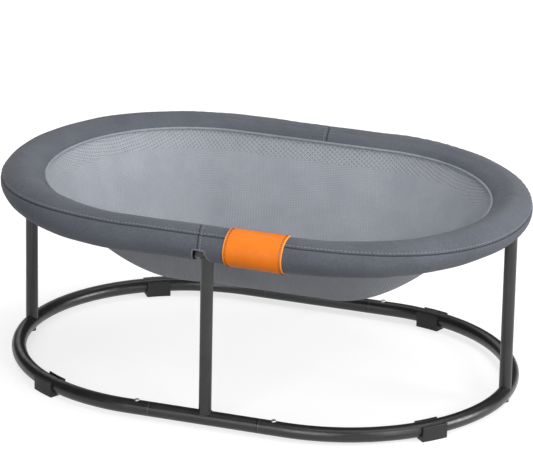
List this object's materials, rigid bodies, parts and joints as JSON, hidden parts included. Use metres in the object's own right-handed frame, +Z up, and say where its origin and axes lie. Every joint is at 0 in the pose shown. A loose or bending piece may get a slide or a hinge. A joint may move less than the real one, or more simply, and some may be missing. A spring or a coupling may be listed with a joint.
{
  "type": "raised hammock pet bed",
  "caption": "Raised oval pet bed: a mesh hammock in a padded sleeve on a tubular steel frame of two stadium rings joined by upright legs, standing on saddle feet.",
  "frame": {"origin": "on the floor, under the centre of the bed", "axes": "+X along the bed, +Y across it to the back, +Z up"},
  "size_m": [0.5828, 0.4078, 0.2233],
  "materials": {
    "frame_steel": "satin black powder coat",
    "button_steel": "blackened spring button",
    "spring_steel": "bright spring steel",
    "bolt_steel": "black oxide",
    "insert_steel": "zinc plated",
    "foot_plastic": "fine moulded texture",
    "foam": "open-cell foam",
    "sleeve_fabric": "slate blue plain weave",
    "mesh_fabric": "light grey open mesh",
    "piping_fabric": "woven trim",
    "band_leather": "orange leatherette, stitched edges"
  },
  "bodies": {
    "bed": {"base_arc_left": "frame_steel", "base_arc_right": "frame_steel", "base_bolt_left": "bolt_steel", "base_bolt_right": "bolt_steel", "base_insert_left": "insert_steel", "base_insert_right": "insert_steel", "base_tube_back": "frame_steel", "base_tube_front": "frame_steel", "foam_left": "foam", "foam_right": "foam", "foot_left_back": "foot_plastic", "foot_left_front": "foot_plastic", "foot_right_back": "foot_plastic", "foot_right_front": "foot_plastic", "hammock": "mesh_fabric", "label_band": "band_leather", "leaf_spring_base_back_left": "spring_steel", "leaf_spring_base_back_right": "spring_steel", "leaf_spring_base_front_left": "spring_steel", "leaf_spring_base_front_right": "spring_steel", "leaf_spring_top_back_left": "spring_steel", "leaf_spring_top_back_right": "spring_steel", "leaf_spring_top_front_left": "spring_steel", "leaf_spring_top_front_right": "spring_steel", "leg_back": "frame_steel", "leg_front": "frame_steel", "leg_left": "frame_steel", "leg_right": "frame_steel", "piping": "piping_fabric", "sleeve_left": "sleeve_fabric", "sleeve_right": "sleeve_fabric", "top_arc_left": "frame_steel", "top_arc_right": "frame_steel", "top_bolt_left": "bolt_steel", "top_bolt_right": "bolt_steel", "top_insert_left": "insert_steel", "top_insert_right": "insert_steel", "top_tube_back": "frame_steel", "top_tube_front": "frame_steel"},
    "button_base_back_left": {"button_base_back_left": "button_steel"},
    "button_base_back_right": {"button_base_back_right": "button_steel"},
    "button_base_front_left": {"button_base_front_left": "button_steel"},
    "button_base_front_right": {"button_base_front_right": "button_steel"},
    "button_top_back_left": {"button_top_back_left": "button_steel"},
    "button_top_back_right": {"button_top_back_right": "button_steel"},
    "button_top_front_left": {"button_top_front_left": "button_steel"},
    "button_top_front_right": {"button_top_front_right": "button_steel"}
  },
  "joints": [
    {"name": "press_base_back_left", "type": "slide", "parent": "bed", "child": "button_base_back_left", "axis": [0, 0, -1], "range_m": [0, 0.002], "stiffness_N_per_m": 1000, "springref_m": -0.003, "deforming": ["leaf_spring_base_back_left"]},
    {"name": "press_base_back_right", "type": "slide", "parent": "bed", "child": "button_base_back_right", "axis": [0, 0, -1], "range_m": [0, 0.002], "stiffness_N_per_m": 1000, "springref_m": -0.003, "deforming": ["leaf_spring_base_back_right"]},
    {"name": "press_base_front_left", "type": "slide", "parent": "bed", "child": "button_base_front_left", "axis": [0, 0, -1], "range_m": [0, 0.002], "stiffness_N_per_m": 1000, "springref_m": -0.003, "deforming": ["leaf_spring_base_front_left"]},
    {"name": "press_base_front_right", "type": "slide", "parent": "bed", "child": "button_base_front_right", "axis": [0, 0, -1], "range_m": [0, 0.002], "stiffness_N_per_m": 1000, "springref_m": -0.003, "deforming": ["leaf_spring_base_front_right"]},
    {"name": "press_top_back_left", "type": "slide", "parent": "bed", "child": "button_top_back_left", "axis": [0, 0, -1], "range_m": [0, 0.002], "stiffness_N_per_m": 1000, "springref_m": -0.003, "deforming": ["leaf_spring_top_back_left"]},
    {"name": "press_top_back_right", "type": "slide", "parent": "bed", "child": "button_top_back_right", "axis": [0, 0, -1], "range_m": [0, 0.002], "stiffness_N_per_m": 1000, "springref_m": -0.003, "deforming": ["leaf_spring_top_back_right"]},
    {"name": "press_top_front_left", "type": "slide", "parent": "bed", "child": "button_top_front_left", "axis": [0, 0, -1], "range_m": [0, 0.002], "stiffness_N_per_m": 1000, "springref_m": -0.003, "deforming": ["leaf_spring_top_front_left"]},
    {"name": "press_top_front_right", "type": "slide", "parent": "bed", "child": "button_top_front_right", "axis": [0, 0, -1], "range_m": [0, 0.002], "stiffness_N_per_m": 1000, "springref_m": -0.003, "deforming": ["leaf_spring_top_front_right"]}
  ]
}
